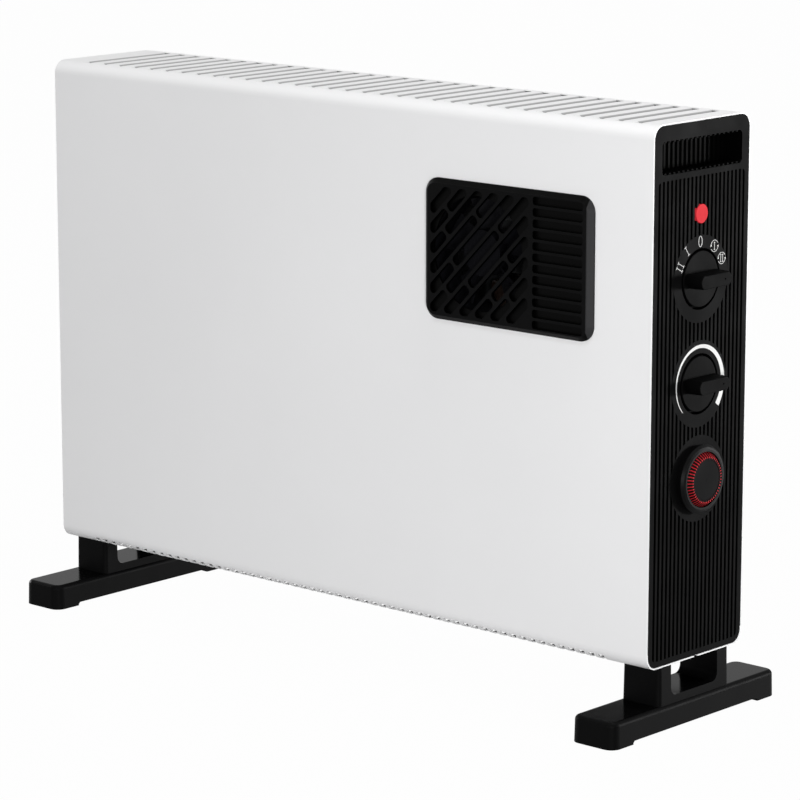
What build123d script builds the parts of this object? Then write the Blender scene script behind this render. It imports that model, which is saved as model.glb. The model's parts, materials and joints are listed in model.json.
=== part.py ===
from build123d import *
import math
import os

# Convector heater with a fan, a heat selector, a thermostat and a segment timer. Millimetres.
# X runs along the heater with the controls at +X, the front faces -Y and the floor is z = 0.
# The parts are drawn about the middle of the casing, and saved about the middle of the whole heater.

# Casing
CASE_W = 600.0
CASE_D = 110.0
CASE_H = 387.0
CASE_Z = 48.0             # underside of the casing above the floor
SHEET_T = 1.0
BEND_R = 10.0             # outside of the bends along the casing's long edges
SEAM_GAP = 0.4
SEAM_DROP = 26.0          # casing top down to the seam across the back
SEAM_LAP = 12.0           # how far the rear sheet reaches behind the front sheet
LAP_INSET = 36.0          # ends of the laps short of the casing's ends
SEAM_NOTCH = 4.0          # corner left out of the rear sheet where the bottom seam meets each end

# Louvres along the top: each slot keeps its strip of sheet as a flap bent down at the left edge
LOUVRE_PITCH = 17.18
LOUVRE_GAP = 8.8
LOUVRE_START = 24.9       # left end of the casing to the first bend
LOUVRE_END = 16.0         # plain strip left at the right end, at least
LOUVRE_FRONT = 7.5        # front of the casing to the slots
LOUVRE_BACK = 14.5        # back of the casing to the slots
LOUVRE_BEND_R = 2.6
LOUVRE_DROP = 7.4         # casing top down to the flap's free edge

# Air inlets along the bottom
INLET_PITCH = 9.12
INLET_W = 5.3
INLET_END = 36.0          # plain strip left at each end, at least
INLET_SHIFT = -2.7        # middle of the row from the middle of the casing
INLET_FRONT = 1.5         # front and back faces to the slots
INLET_MID = 14.0          # half of the plain strip along the middle
INLET_RISE = 8.0          # how far up the bend a slot is cut

# End panels
PANEL_LIP = 1.4           # outside of the sheet to the panel's outline
PANEL_WALL = 3.0
SKIRT_DEPTH = 15.0
SKIRT_WALL = 2.0
FIELD_TOP = 39.8          # casing top down to the ribbed field
FIELD_BOTTOM = 5.6        # casing underside up to the ribbed field
FIELD_R = 3.5
RIB_COUNT = 21
RIB_PITCH = 4.575
RIB_W = 2.2
RIB_H = 1.6
HANDLE_W = 91.2
HANDLE_H = 23.5
HANDLE_DROP = 12.1        # casing top down to the handle recess
HANDLE_DEPTH = 15.0
HANDLE_R = 3.5
HANDLE_WALL = 2.0
HANDLE_RIBS = 17
HANDLE_RIB_PITCH = 5.1
HANDLE_RIB_W = 2.0
HANDLE_RIB_H = 1.2

# Controls, on a vertical line through the middle of the right panel
LAMP_DROP = 66.75
SELECTOR_DROP = 112.9
THERMOSTAT_DROP = 187.8
TIMER_DROP = 256.0
PLATE_R = 31.1
KNOB_R = 20.0
KNOB_GAP = 1.9            # knob skirt to the cup around it
CUP_DEPTH = 5.0
CUP_WALL = 2.0
KNOB_SKIRT = 4.2
KNOB_FACE = 0.4           # knob disc above the panel
GRIP_W = 10.5
GRIP_TAIL = 16.2
GRIP_CORNER = 13.2
GRIP_SHOULDER = 16.6
GRIP_TIP = 20.8
GRIP_TOP = 13.0
GRIP_TAPER = 2.0
GRIP_EDGE_R = 0.6
DOT_R = 0.75
DOT_FROM_AXIS = 11.8
DOT_DEPTH = 0.6
SPINDLE_R = 3.0
SPINDLE_FLAT = 2.2        # axis to the flat
SPINDLE_REACH = 8.5       # spindle end above the panel
SPINDLE_FIT = 0.05
SPINDLE_HOLE_GAP = 1.0
SPINDLE_IN_BODY = 14.0
LAMP_R = 6.75
LAMP_GAP = 0.5
LAMP_PROUD = 0.3
LAMP_LENGTH = 9.0

# Timer dial
BEZEL_R = 24.8
BEZEL_FOOT_R = 24.0
BEZEL_WIDE_H = 4.2
BEZEL_TOP_R = 21.6
BEZEL_H = 6.5
BEZEL_ROLL = 0.6          # fall from the rim's top to the middle of its slope
DIAL_GAP = 0.6
DIAL_R = 19.5
DIAL_EDGE_H = 4.8
DIAL_FACE_R = 16.6
DIAL_FACE_H = 8.4
TAB_COUNT = 48
TAB_W = 1.2
TAB_INNER_R = 14.8        # inner ends of the segments on the dial's face
TAB_SLOT_GAP = 0.05
TAB_SLOT_END = 0.4        # slots run past the segments' ends
TAB_DEPTH = 1.6
TAB_PROUD = 0.35

# Fan grille
GRILLE_W = 156.0
GRILLE_H = 103.3
GRILLE_INSET = 128.6      # right end of the casing to the middle of the grille
GRILLE_DROP = 105.7       # casing top down to the middle of the grille
GRILLE_R = 11.5
GRILLE_PROUD = 5.0
GRILLE_CHAMFER = 3.3
GRILLE_RIM = 5.0          # how far the grille covers the sheet around its opening
LATTICE_DEPTH = 3.0
FLOOR_T = 1.5
LATTICE_SIZE = 92.0
LATTICE_SHIFT = -24.9     # middle of the lattice from the middle of the grille
LATTICE_PITCH = 14.7
LATTICE_RIB = 2.5
LATTICE_CHANNELS = 5      # diagonal channels on each side of the middle one
LATTICE_CORNER_R = 3.0
# Where short cross-bars tie two diagonal ribs, by how many channels away from the middle one,
# as a share of the lattice's size along the diagonal
LATTICE_TIES = {0: (0.285, -0.461), 1: (-0.255,), 2: (0.196,), 3: (-0.14,), 4: (0.0,)}
BAR_COUNT = 12
BAR_PITCH = 8.06
BAR_GAP = 6.0
BAR_W = 45.5
BAR_END_R = 2.0
BAR_SHIFT = 47.9          # middle of the blind slots from the middle of the grille

# Fan
FAN_SHIFT = -28.0         # fan axis from the middle of the grille
FAN_R = 40.0
FAN_TIP_GAP = 2.0
SHROUD_WALL = 2.0
SHROUD_DEPTH = 24.0
SHROUD_EAR = 10.0
SHROUD_EAR_H = 14.0
BLADE_COUNT = 5
BLADE_T = 1.5
BLADE_ROOT_IN = 1.5       # blades' roots sunk into the hub
BLADE_CHORDS = (15.0, 23.0, 30.0)    # at the root, halfway and at the tip
BLADE_PITCHES = (40.0, 31.0, 23.0)
BLADE_CAMBERS = (1.5, 2.4, 3.0)
HUB_R = 17.0
HUB_WALL = 2.0
HUB_DEPTH = 18.0
HUB_BEHIND_FLOOR = 3.0
SHAFT_R = 1.6
BEARING_FIT = 0.04
STRAP_T = 1.5
STRAP_H = 12.0
BRIDGE_DEPTH = 10.0
BRIDGE_H = 14.0
BRIDGE_PLATE = 3.0
BRIDGE_CLEAR = 2.0        # rotor's bore to the bridges' legs
BEARING_R = 5.0
STACK_DEPTH = 20.0
STACK_HALF_W = 24.0
STACK_UP = 20.0
STACK_DOWN = 44.0
ROTOR_R = 11.6
AIR_GAP = 0.4
WINDOW_HALF_W = 13.0
WINDOW_TOP = 18.0
YOKE_H = 12.0
COIL_BUILD = 8.0
COIL_END_GAP = 1.0

# Heating elements
ELEMENT_Y = 24.0          # each element's axis from the middle
ELEMENT_RISE = 52.0       # above the casing's underside
ELEMENT_LEFT_INSET = 50.0     # left end of the casing to the fins
ELEMENT_RIGHT_INSET = 110.0   # right end of the casing to the fins
FIN_REACH = 21.0
FIN_T = 1.6
FIN_ANGLE = 42.0
FIN_HUB_R = 5.5
FIN_SLOTS = 10
FIN_SLOT_L = 30.0
FIN_SLOT_W = 4.0
FIN_SLOT_R = 14.0         # slots from the element's axis
SHEATH_R = 3.25
BRACKET_GAP = 10.0        # fins to the bracket
BRACKET_T = 1.2
BRACKET_H = 62.0
BRACKET_FLANGE = 12.0
BUSH_R = 8.0
BUSH_FLANGE_R = 10.5
BUSH_FLANGE_T = 3.0
SHEATH_PAST = 8.0         # sheath past the bracket's bushes
PIN_R = 1.5
PIN_LENGTH = 12.0

# Things inside the control end
SHIELD_INSET = 45.0       # right end of the casing to the heat shield
SHIELD_T = 1.0
SHIELD_TOP_GAP = 12.0
SHIELD_FLANGE = 10.0
WIRE_HOLE_R = 8.0
SWITCH_SIZE = 36.0
SWITCH_DEPTH = 22.0
SELECTOR_TABS = [(-12, -9), (-12, 9), (0, -12), (12, -9), (12, 9)]    # Y and rise from the axis
SPADE_W = 6.3
SPADE_T = 0.8
SPADE_L = 9.0
THERMOSTAT_W = 30.0
THERMOSTAT_H = 40.0
THERMOSTAT_DEPTH = 16.0
THERMOSTAT_TABS = [(-8, -12), (8, -12)]
TIMER_BODY_R = 27.0
TIMER_BODY_DEPTH = 26.0
TIMER_TABS = [(-10, -14), (10, -14)]
TERMINAL_W = 34.0
TERMINAL_H = 18.0
TERMINAL_DEPTH = 13.0
TERMINAL_RISE = 32.0
TERMINAL_BORE_R = 3.0
INLET_HOLE_R = 7.0
CORD_BORE_R = 3.7
GROMMET_R = 9.5
GROMMET_OUT = 2.5
CORD_INSET = 27.0         # right end of the casing to the cord's inlet
CORD_RISE = 30.0

# Feet
FOOT_L = 192.5
FOOT_W = 39.0
FOOT_OUT = 3.2            # bar's outer side past the casing's end
FOOT_BAR_H = 19.5
FOOT_PLAN_R = 8.0
FOOT_TOP_R = 3.5
FOOT_TAPER = 1.5
PAD_L = 23.3
PAD_H = 2.5
PAD_CHAMFER = 1.5
COLUMN_W = 33.0           # at the top, where its outer side is flush with the casing's end
COLUMN_L = 81.0
COLUMN_R = 3.0
COLUMN_TAPER = 1.0
WINDOW_L = 54.0
WINDOW_FLOOR = 25.1
WINDOW_R = 6.0
FOOT_WALL = 3.0
FOOT_SIDE_WALL = 6.0
FOOT_ROOF = 5.0
NUT_PLATE_T = 3.0
NUT_PLATE_W = 16.0

# Screws
SCREW_R = 2.0
SCREW_HEAD_R = 4.0
SCREW_HEAD_H = 2.8
SCREW_WELL = 20.0
SCREW_WELL_GAP = 0.5
CASE_SCREW_R = 1.6
CASE_SCREW_HEAD_R = 3.5
CASE_SCREW_HEAD_H = 2.0
CASE_SCREW_L = 9.0
CASE_SCREW_RISE = 46.0    # casing's underside up to the lowest screws
CASE_SCREW_DROP = 62.0    # casing's top down to the highest screws below the seam
SEAM_SCREW_INSET = 102.0  # casing's ends to the outer screws in the seam
CROSS_L = 4.0             # cross recess in every screw's head
CROSS_W = 0.9
CROSS_DEPTH = 1.2

# Places that follow from the sizes above
END_X = CASE_W / 2
FRONT_Y = -CASE_D / 2
BACK_Y = CASE_D / 2
CASE_TOP = CASE_Z + CASE_H
CASE_MID_Z = CASE_Z + CASE_H / 2
SEAM_Z = CASE_TOP - SEAM_DROP
LAP_X = END_X - LAP_INSET
LOUVRE_COUNT = int((CASE_W - LOUVRE_START - LOUVRE_GAP - LOUVRE_END) / LOUVRE_PITCH) + 1
SLOT_DEPTH = CASE_D - LOUVRE_FRONT - LOUVRE_BACK
SLOT_MID_Y = (LOUVRE_FRONT - LOUVRE_BACK) / 2
INLET_COUNT = int((CASE_W - 2 * INLET_END - INLET_W) / INLET_PITCH) + 1
FIELD_W = (RIB_COUNT + 1) * RIB_PITCH - RIB_W
LAMP_Z = CASE_TOP - LAMP_DROP
SELECTOR_Z = CASE_TOP - SELECTOR_DROP
THERMOSTAT_Z = CASE_TOP - THERMOSTAT_DROP
TIMER_Z = CASE_TOP - TIMER_DROP
KNOB_CUP_R = KNOB_R + KNOB_GAP
CUP_BACK = CUP_DEPTH + CUP_WALL
BEZEL_BORE_R = DIAL_R + DIAL_GAP
GRILLE_X = END_X - GRILLE_INSET
GRILLE_Z = CASE_TOP - GRILLE_DROP
GRILLE_OPENING_R = GRILLE_R - GRILLE_RIM
GRILLE_FACE_Y = FRONT_Y - GRILLE_PROUD
FLOOR_BACK_Y = GRILLE_FACE_Y + LATTICE_DEPTH + FLOOR_T
FAN_X = GRILLE_X + FAN_SHIFT
FAN_HOLE_R = FAN_R + FAN_TIP_GAP
HUB_Y = FLOOR_BACK_Y + HUB_BEHIND_FLOOR
STRAP_Y = FLOOR_BACK_Y + SHROUD_DEPTH
FRONT_BRIDGE_Y = STRAP_Y + STRAP_T
STACK_Y = FRONT_BRIDGE_Y + BRIDGE_DEPTH
REAR_BRIDGE_Y = STACK_Y + STACK_DEPTH
SHAFT_END_Y = REAR_BRIDGE_Y + BRIDGE_DEPTH
ELEMENT_Z = CASE_Z + ELEMENT_RISE
ELEMENT_LEFT = -END_X + ELEMENT_LEFT_INSET
ELEMENT_RIGHT = END_X - ELEMENT_RIGHT_INSET
BRACKET_LEFT = ELEMENT_LEFT - BRACKET_GAP
BRACKET_RIGHT = ELEMENT_RIGHT + BRACKET_GAP
SHIELD_X = END_X - SHIELD_INSET
CORD_X = END_X - CORD_INSET
FOOT_X = END_X + FOOT_OUT - FOOT_W / 2
COLUMN_X = END_X - COLUMN_W / 2
COLUMN_WALL_Y = (COLUMN_L + WINDOW_L) / 4
NUT_X = COLUMN_X - COLUMN_W / 2 + NUT_PLATE_W / 2
# The knobs stand out further past the right end than the feet do, so the heater's middle is off the casing's
SHIFT_X = (FOOT_OUT - GRIP_TOP) / 2


def block(x0, x1, y0, y1, z0, z1):
    """Box between two corners."""
    return Pos((x0 + x1) / 2, (y0 + y1) / 2, (z0 + z1) / 2) * Box(x1 - x0, y1 - y0, z1 - z0)


def rod_x(radius, x0, x1, y, z):
    """Round bar along X."""
    return Pos((x0 + x1) / 2, y, z) * Rot(0, 90, 0) * Cylinder(radius, x1 - x0)


def rod_y(radius, y0, y1, x, z):
    """Round bar along Y."""
    return Pos(x, (y0 + y1) / 2, z) * Rot(90, 0, 0) * Cylinder(radius, y1 - y0)


def rod_z(radius, z0, z1, x, y):
    """Round bar along Z."""
    return Pos(x, y, (z0 + z1) / 2) * Cylinder(radius, z1 - z0)


def turned(points, z):
    """Ring or disc turned about the X axis through height z. Points are radius and height above the panel."""
    outline = Polyline([(height, radius) for radius, height in points], close=True)
    return Pos(END_X, 0, z) * revolve(Plane.XY * make_face(outline), Axis.X)


def dial_plane(z, height):
    """Plane facing +X at a height above the right panel's face, local x towards the back."""
    return Plane(origin=(END_X + height, 0, z), x_dir=(0, 1, 0), z_dir=(1, 0, 0))


def case_prism(inset, x0, x1):
    """Solid of the casing's rounded section, drawn in by an inset, between two places along X."""
    section = RectangleRounded(CASE_D - 2 * inset, CASE_H - 2 * inset, BEND_R - inset)
    return Pos(x0, 0, CASE_MID_Z) * extrude(Plane.YZ * section, x1 - x0)


def case_shell():
    """The sheet all the way round, before it is parted into front and rear."""
    return case_prism(0, -END_X, END_X) - case_prism(SHEET_T, -END_X - 1, END_X + 1)


def rear_zone(gap):
    """The space of the rear sheet: the back up to its seam and the rear half of the bottom."""
    return block(-END_X - 1, END_X + 1, -gap / 2, CASE_D, CASE_Z - 1, SEAM_Z + gap / 2)


def louvre_slots():
    """The punched slots along the top."""
    slots = []
    for index in range(LOUVRE_COUNT):
        x0 = -END_X + LOUVRE_START + index * LOUVRE_PITCH
        slots.append(block(x0, x0 + LOUVRE_GAP, FRONT_Y + LOUVRE_FRONT, BACK_Y - LOUVRE_BACK,
                           CASE_TOP - BEND_R, CASE_TOP + 1))
    return slots


def louvre_flaps():
    """The strips of sheet bent down at the slots' left edges."""
    inner_r = LOUVRE_BEND_R - SHEET_T
    centre = (0, -LOUVRE_BEND_R)
    edges = [
        CenterArc(centre, LOUVRE_BEND_R, 0, 90),
        Line((0, 0), (0, -SHEET_T)),
        CenterArc(centre, inner_r, 0, 90),
        Line((inner_r, -LOUVRE_BEND_R), (inner_r, -LOUVRE_DROP)),
        Line((inner_r, -LOUVRE_DROP), (LOUVRE_BEND_R, -LOUVRE_DROP)),
        Line((LOUVRE_BEND_R, -LOUVRE_DROP), (LOUVRE_BEND_R, -LOUVRE_BEND_R)),
    ]
    flap = extrude(Plane.XZ * make_face(edges), SLOT_DEPTH / 2, both=True)
    first_x = -END_X + LOUVRE_START
    return [Pos(first_x + index * LOUVRE_PITCH, SLOT_MID_Y, CASE_TOP) * flap for index in range(LOUVRE_COUNT)]


def inlet_slots(side):
    """The air slots in one half of the bottom, side -1 at the front and +1 at the back."""
    first_x = INLET_SHIFT - (INLET_COUNT - 1) / 2 * INLET_PITCH
    near, far = sorted((side * INLET_MID, side * (CASE_D / 2 - INLET_FRONT)))
    slots = []
    for index in range(INLET_COUNT):
        x = first_x + index * INLET_PITCH
        slots.append(block(x - INLET_W / 2, x + INLET_W / 2, near, far, CASE_Z - 1, CASE_Z + INLET_RISE))
    return slots


def foot_screw_places():
    """X and Y of the screws that hold the feet."""
    return [(side * NUT_X, end * COLUMN_WALL_Y) for side in (-1, 1) for end in (-1, 1)]


def case_screw_places():
    """X and Z of the screws in the back: into the end panels' skirts and through the lapped seam."""
    skirt_x = END_X - SKIRT_DEPTH / 2
    low_z = CASE_Z + CASE_SCREW_RISE
    high_z = CASE_TOP - CASE_SCREW_DROP
    skirt = [(side * skirt_x, z) for side in (-1, 1) for z in (low_z, (low_z + high_z) / 2, high_z)]
    seam = [(side * (END_X - SEAM_SCREW_INSET), SEAM_Z + SEAM_LAP / 2) for side in (-1, 0, 1)]
    return skirt + seam


def cross_recess():
    """Cross cut into a screw's head, about the origin and along Z."""
    return Box(CROSS_L, CROSS_W, 2 * CROSS_DEPTH) + Box(CROSS_W, CROSS_L, 2 * CROSS_DEPTH)


def front_casing():
    """Front, top and front half of the bottom, bent from one sheet that turns down over the back edge."""
    sheet = case_shell() - rear_zone(SEAM_GAP)
    opening = RectangleRounded(GRILLE_W - 2 * GRILLE_RIM, GRILLE_H - 2 * GRILLE_RIM, GRILLE_OPENING_R)
    sheet -= Pos(GRILLE_X, FRONT_Y, GRILLE_Z) * extrude(Plane.XZ * opening, 2 * SHEET_T, both=True)
    sheet -= louvre_slots()
    sheet -= inlet_slots(-1)
    sheet -= [rod_z(SCREW_R, CASE_Z - 1, CASE_Z + BEND_R, x, y) for x, y in foot_screw_places() if y < 0]
    seam_screws = [(x, z) for x, z in case_screw_places() if z > SEAM_Z]
    sheet -= [rod_y(CASE_SCREW_R, BACK_Y - BEND_R, BACK_Y + 1, x, z) for x, z in seam_screws]
    return sheet + louvre_flaps()


def rear_casing():
    """Back and rear half of the bottom, with stepped laps that tuck inside the front sheet."""
    sheet = case_shell() & rear_zone(-SEAM_GAP)
    lap_y = BACK_Y - SHEET_T
    sheet += block(-LAP_X, LAP_X, lap_y - SHEET_T, lap_y, SEAM_Z - SEAM_LAP / 2, SEAM_Z + SEAM_LAP)
    sheet += block(-LAP_X, LAP_X, -SEAM_LAP, SEAM_LAP / 2, CASE_Z + SHEET_T, CASE_Z + 2 * SHEET_T)
    sheet -= inlet_slots(1)
    for side in (-1, 1):
        near, far = sorted((side * (END_X - SEAM_NOTCH), side * (END_X + 1)))
        sheet -= block(near, far, 0, SEAM_NOTCH, CASE_Z - 1, CASE_Z + 2 * SHEET_T)
    sheet -= [rod_z(SCREW_R, CASE_Z - 1, CASE_Z + BEND_R, x, y) for x, y in foot_screw_places() if y > 0]
    sheet -= [rod_y(CASE_SCREW_R, BACK_Y - BEND_R, BACK_Y + 1, x, z) for x, z in case_screw_places()]
    sheet -= rod_y(INLET_HOLE_R, BACK_Y - BEND_R, BACK_Y + 1, CORD_X, CASE_Z + CORD_RISE)
    return sheet


def handle_cup():
    """Block behind the panel's face that the finger recess is sunk into."""
    mouth_z = CASE_TOP - HANDLE_DROP - HANDLE_H / 2
    outside = RectangleRounded(HANDLE_W + 2 * HANDLE_WALL, HANDLE_H + 2 * HANDLE_WALL, HANDLE_R + HANDLE_WALL)
    depth = HANDLE_DEPTH + HANDLE_WALL
    return Pos(END_X - depth, 0, mouth_z) * extrude(Plane.YZ * outside, depth - 1)


def handle_hollow():
    """Space of the finger recess between its ribs."""
    mouth_z = CASE_TOP - HANDLE_DROP - HANDLE_H / 2
    mouth = RectangleRounded(HANDLE_W, HANDLE_H, HANDLE_R)
    space = Pos(END_X - HANDLE_DEPTH, 0, mouth_z) * extrude(Plane.YZ * mouth, HANDLE_DEPTH + 1)
    back_x = END_X - HANDLE_DEPTH
    ribs = []
    for index in range(HANDLE_RIBS):
        y = (index - (HANDLE_RIBS - 1) / 2) * HANDLE_RIB_PITCH
        ribs.append(block(back_x, END_X - 1, y - HANDLE_RIB_W / 2, y + HANDLE_RIB_W / 2,
                          mouth_z - HANDLE_H / 2, mouth_z + HANDLE_H / 2))
    half_h = HANDLE_H / 2 - HANDLE_RIB_H
    clear = block(back_x + HANDLE_RIB_H, END_X, -HANDLE_W / 2, HANDLE_W / 2, mouth_z - half_h, mouth_z + half_h)
    return space - [rib - clear for rib in ribs]


def ribbed_field(plate_heights):
    """Grooves between the vertical ribs, stopped round the flat plates behind the knobs."""
    height = CASE_H - FIELD_TOP - FIELD_BOTTOM
    field = RectangleRounded(FIELD_W, height, FIELD_R)
    grooves = Pos(END_X - RIB_H, 0, CASE_Z + FIELD_BOTTOM + height / 2) * extrude(Plane.YZ * field, RIB_H + 1)
    ribs = []
    for index in range(RIB_COUNT):
        y = (index - (RIB_COUNT - 1) / 2) * RIB_PITCH
        ribs.append(block(END_X - RIB_H, END_X + 1, y - RIB_W / 2, y + RIB_W / 2, CASE_Z, CASE_TOP))
    grooves -= ribs
    for z in plate_heights:
        grooves -= rod_x(PLATE_R, END_X - RIB_H, END_X + 1, 0, z)
    return grooves


def panel_blank(plate_heights):
    """Ribbed tray with a skirt inside the casing and a finger recess near its top."""
    tray = case_prism(PANEL_LIP, END_X - SKIRT_DEPTH, END_X)
    inset = PANEL_LIP + SKIRT_WALL
    tray -= case_prism(inset, END_X - SKIRT_DEPTH - 1, END_X - PANEL_WALL)
    tray += handle_cup()
    tray -= handle_hollow()
    tray -= ribbed_field(plate_heights)
    tray -= [rod_y(CASE_SCREW_R, BACK_Y - BEND_R, BACK_Y, x, z) for x, z in case_screw_places() if x > LAP_X]
    return tray


def right_end_panel():
    """Control end: a cup behind each knob, a hole for the timer dial and one for the lamp."""
    panel = panel_blank([SELECTOR_Z, THERMOSTAT_Z, TIMER_Z])
    for z in (SELECTOR_Z, THERMOSTAT_Z, TIMER_Z):
        panel += rod_x(KNOB_CUP_R + CUP_WALL, END_X - CUP_BACK, END_X - 1, 0, z)
        panel -= rod_x(KNOB_CUP_R, END_X - CUP_DEPTH, END_X + 1, 0, z)
        panel -= rod_x(SPINDLE_R + SPINDLE_HOLE_GAP, END_X - CUP_BACK - 1, END_X, 0, z)
    return panel - rod_x(LAMP_R + LAMP_GAP, END_X - PANEL_WALL - 1, END_X + 1, 0, LAMP_Z)


def left_end_panel():
    """The same moulding without controls, for the other end."""
    return mirror(panel_blank([]), about=Plane.YZ)


def spindle_section():
    """Round with one flat."""
    flat = Pos(0, SPINDLE_FLAT - SPINDLE_R) * Rectangle(2 * SPINDLE_R, 2 * SPINDLE_R)
    return Circle(SPINDLE_R) & flat


def control_spindle(z):
    """Spindle from inside the switch body to the knob."""
    base_h = -CUP_BACK - SPINDLE_IN_BODY
    return extrude(dial_plane(z, base_h) * spindle_section(), SPINDLE_REACH - base_h)


def control_knob(z):
    """Disc with a straight grip that ends in a pointer. It points to the back, as photographed."""
    disc = turned([(0, -KNOB_SKIRT), (KNOB_R, -KNOB_SKIRT), (KNOB_R, 0), (KNOB_R - KNOB_FACE, KNOB_FACE),
                   (0, KNOB_FACE)], z)
    half = GRIP_W / 2
    outline = [
        Line((-GRIP_CORNER, half), (GRIP_SHOULDER, half)),
        Line((GRIP_SHOULDER, half), (GRIP_TIP, 0)),
        Line((GRIP_TIP, 0), (GRIP_SHOULDER, -half)),
        Line((GRIP_SHOULDER, -half), (-GRIP_CORNER, -half)),
        ThreePointArc((-GRIP_CORNER, -half), (-GRIP_TAIL, 0), (-GRIP_CORNER, half)),
    ]
    grip = extrude(dial_plane(z, 0) * make_face(outline), GRIP_TOP, taper=GRIP_TAPER)
    grip = fillet(grip.edges().group_by(Axis.X)[-1], GRIP_EDGE_R)
    knob = disc + grip
    knob -= rod_x(DOT_R, END_X + GRIP_TOP - DOT_DEPTH, END_X + GRIP_TOP + 1, DOT_FROM_AXIS, z)
    return knob - control_spindle(z)


def control_body(z, width, height, depth):
    """Moulded block behind a knob's cup, bored for the spindle, with its connection tabs at the back."""
    front_x = END_X - CUP_BACK
    body = block(front_x - depth, front_x, -width / 2, width / 2, z - height / 2, z + height / 2)
    body = chamfer(body.edges().filter_by(Axis.X), CUP_WALL)
    return body - rod_x(SPINDLE_R + SPINDLE_FIT, front_x - SPINDLE_IN_BODY - 1, front_x, 0, z)


def spade_tabs(z, depth, places):
    """Flat brass tabs standing out of the back of a control."""
    back_x = END_X - CUP_BACK - depth
    tabs = []
    for y, rise in places:
        tabs.append(block(back_x - SPADE_L, back_x, y - SPADE_T / 2, y + SPADE_T / 2,
                          z + rise - SPADE_W / 2, z + rise + SPADE_W / 2))
    return tabs


def selector_switch():
    """Rotary switch body of the heat selector."""
    return control_body(SELECTOR_Z, SWITCH_SIZE, SWITCH_SIZE, SWITCH_DEPTH)


def thermostat_body():
    """Room thermostat body."""
    return control_body(THERMOSTAT_Z, THERMOSTAT_W, THERMOSTAT_H, THERMOSTAT_DEPTH)


def timer_body():
    """Round clockwork case of the timer."""
    front_x = END_X - CUP_BACK
    case = rod_x(TIMER_BODY_R, front_x - TIMER_BODY_DEPTH, front_x, 0, TIMER_Z)
    return case - rod_x(SPINDLE_R + SPINDLE_FIT, front_x - SPINDLE_IN_BODY - 1, front_x, 0, TIMER_Z)


def control_tabs():
    """All the connection tabs on the three controls."""
    tabs = spade_tabs(SELECTOR_Z, SWITCH_DEPTH, SELECTOR_TABS)
    tabs += spade_tabs(THERMOSTAT_Z, THERMOSTAT_DEPTH, THERMOSTAT_TABS)
    tabs += spade_tabs(TIMER_Z, TIMER_BODY_DEPTH, TIMER_TABS)
    return Compound(tabs)


def timer_bezel():
    """Fixed ring round the timer dial, waisted at its foot and rolled over at its rim."""
    return turned([(BEZEL_BORE_R, 0), (BEZEL_FOOT_R, 0), (BEZEL_R, BEZEL_WIDE_H),
                   ((BEZEL_R + BEZEL_TOP_R) / 2, BEZEL_H - BEZEL_ROLL), (BEZEL_TOP_R, BEZEL_H),
                   (BEZEL_BORE_R, BEZEL_H)], TIMER_Z)


def tab_bar(width, proud, past):
    """A timer segment at the top of the dial, or its slot: along the face, then down the sloping edge."""
    run = DIAL_R - DIAL_FACE_R
    fall = DIAL_FACE_H - DIAL_EDGE_H
    slope = math.atan2(fall, run)
    along = Vector(-math.sin(slope), math.cos(slope)) * past
    outward = Vector(math.cos(slope), math.sin(slope))
    corner = Vector(1, math.tan(slope / 2))
    face_end = Vector(DIAL_FACE_H, TAB_INNER_R - past)
    face_edge = Vector(DIAL_FACE_H, DIAL_FACE_R)
    low_end = Vector(DIAL_EDGE_H, DIAL_R) + along
    outline = Polyline([
        face_end + Vector(proud, 0),
        face_edge + corner * proud,
        low_end + outward * proud,
        low_end - outward * TAB_DEPTH,
        face_edge - corner * TAB_DEPTH,
        face_end - Vector(TAB_DEPTH, 0),
    ], close=True)
    return Pos(END_X, 0, TIMER_Z) * extrude(Plane.XZ * make_face(outline), width / 2, both=True)


def round_timer(shape, index):
    """A shape at the top of the dial, carried round to one of the segment places."""
    axis = Axis((0, 0, TIMER_Z), (1, 0, 0))
    return shape.rotate(axis, index * 360 / TAB_COUNT)


def timer_dial():
    """Turning drum with a sloping edge, slotted for its segments."""
    drum = turned([(0, -KNOB_SKIRT), (DIAL_R, -KNOB_SKIRT), (DIAL_R, DIAL_EDGE_H), (DIAL_FACE_R, DIAL_FACE_H),
                   (0, DIAL_FACE_H)], TIMER_Z)
    slot = tab_bar(TAB_W + 2 * TAB_SLOT_GAP, 1, TAB_SLOT_END)
    drum -= [round_timer(slot, index) for index in range(TAB_COUNT)]
    return drum - timer_arbor()


def timer_tabs():
    """The half-hour segments round the dial."""
    tab = tab_bar(TAB_W, TAB_PROUD, 0)
    return Compound([round_timer(tab, index) for index in range(TAB_COUNT)])


def timer_arbor():
    """Arbor that carries the dial."""
    base_h = -CUP_BACK - SPINDLE_IN_BODY
    return extrude(dial_plane(TIMER_Z, base_h) * spindle_section(), DIAL_EDGE_H - base_h)


def pilot_lens():
    """Red lens with a softened edge, standing just proud of the panel."""
    lens = rod_x(LAMP_R, END_X - LAMP_LENGTH, END_X + LAMP_PROUD, 0, LAMP_Z)
    return fillet(lens.edges().group_by(Axis.X)[-1], LAMP_PROUD)


def pilot_holder():
    """Socket behind the panel that holds the lens."""
    back_x = END_X - PANEL_WALL
    holder = rod_x(LAMP_R + SKIRT_WALL, back_x - 2 * LAMP_LENGTH, back_x, 0, LAMP_Z)
    return holder - rod_x(LAMP_R, END_X - LAMP_LENGTH, back_x, 0, LAMP_Z)


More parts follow.
